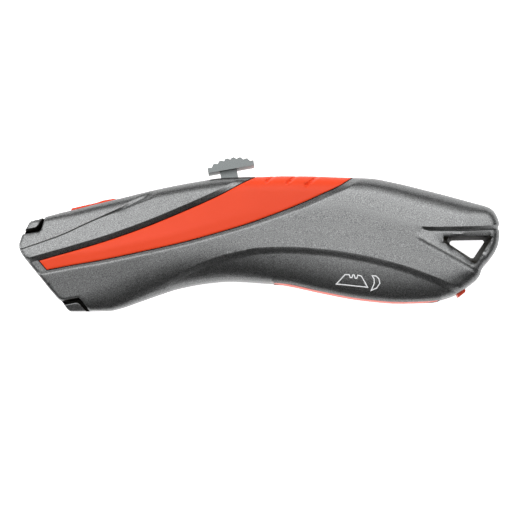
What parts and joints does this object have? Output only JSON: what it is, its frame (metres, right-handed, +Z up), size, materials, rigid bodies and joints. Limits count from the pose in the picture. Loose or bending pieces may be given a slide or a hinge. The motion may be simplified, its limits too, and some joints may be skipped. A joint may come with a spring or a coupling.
{
  "type": "utility knife",
  "caption": "Retractable utility knife with cast metal halves, coloured side inlay, thumb slider, swing-out blade magazine, quick-change button and triangular lanyard loop.",
  "frame": {"origin": "centre of the bounding box at its bottom: the knife lies on its right side, and the origin is under its middle, on the surface", "axes": "+X from nose to tail along the length, +Y towards the spine and thumb slider, +Z up out of the left side"},
  "size_m": [0.1746, 0.0561, 0.025],
  "materials": {
    "shell": "speckled metallic powder coat over die-cast aluminium",
    "inlay": "satin moulded plastic",
    "orange_plastic": "satin moulded plastic",
    "hardware": "zinc-plated steel",
    "spring_steel": "bright spring steel",
    "blade_steel": "ground carbon steel with a light oil film",
    "slider_cast": "smooth bead-blasted casting",
    "carrier": "glass-filled nylon"
  },
  "bodies": {
    "housing": {"left_shell": "shell", "right_shell": "shell", "left_grip_inlay": "inlay", "right_grip_inlay": "inlay", "body_screws": "hardware", "magazine_pin": "hardware", "release_pin": "hardware", "release_spring": "spring_steel", "lock_rail": "hardware", "latch_spring": "spring_steel"},
    "release_button": {"release_button": "orange_plastic"},
    "carrier": {"blade_carrier": "carrier", "blade": "blade_steel", "blade_clip": "spring_steel", "clip_rivets": "hardware", "slider_spring": "spring_steel"},
    "thumb_slider": {"thumb_slider": "slider_cast", "lock_leaf": "spring_steel"},
    "magazine": {"blade_magazine": "orange_plastic", "spare_blades": "blade_steel", "magazine_clip": "spring_steel"},
    "latch": {"magazine_latch": "orange_plastic"}
  },
  "joints": [
    {"name": "blade_slide", "type": "slide", "parent": "housing", "child": "carrier", "axis": [-0.9848, -0.1736, 0], "range_m": [0, 0.029]},
    {"name": "slider_press", "type": "slide", "parent": "carrier", "child": "thumb_slider", "axis": [0.1736, -0.9848, 0], "range_m": [0, 0.0015], "stiffness_N_per_m": 700, "springref_m": -0.003, "deforming": ["slider_spring"]},
    {"name": "release_press", "type": "hinge", "parent": "housing", "child": "release_button", "pos_m": [-0.05019, 0.00985, 0.0125], "axis": [0, 0, 1], "range_deg": [0, 5], "stiffness_Nm_per_rad": 0.15, "springref_deg": -5.73, "deforming": ["release_spring"]},
    {"name": "magazine_swing", "type": "hinge", "parent": "housing", "child": "magazine", "pos_m": [0.0073, -0.01355, 0.0125], "axis": [0, 0, -1], "range_deg": [0, 38]},
    {"name": "latch_press", "type": "slide", "parent": "housing", "child": "latch", "axis": [0.8526, 0.5225, 0], "range_m": [0, 0.0018], "stiffness_N_per_m": 300, "springref_m": -0.002, "deforming": ["latch_spring"]}
  ]
}
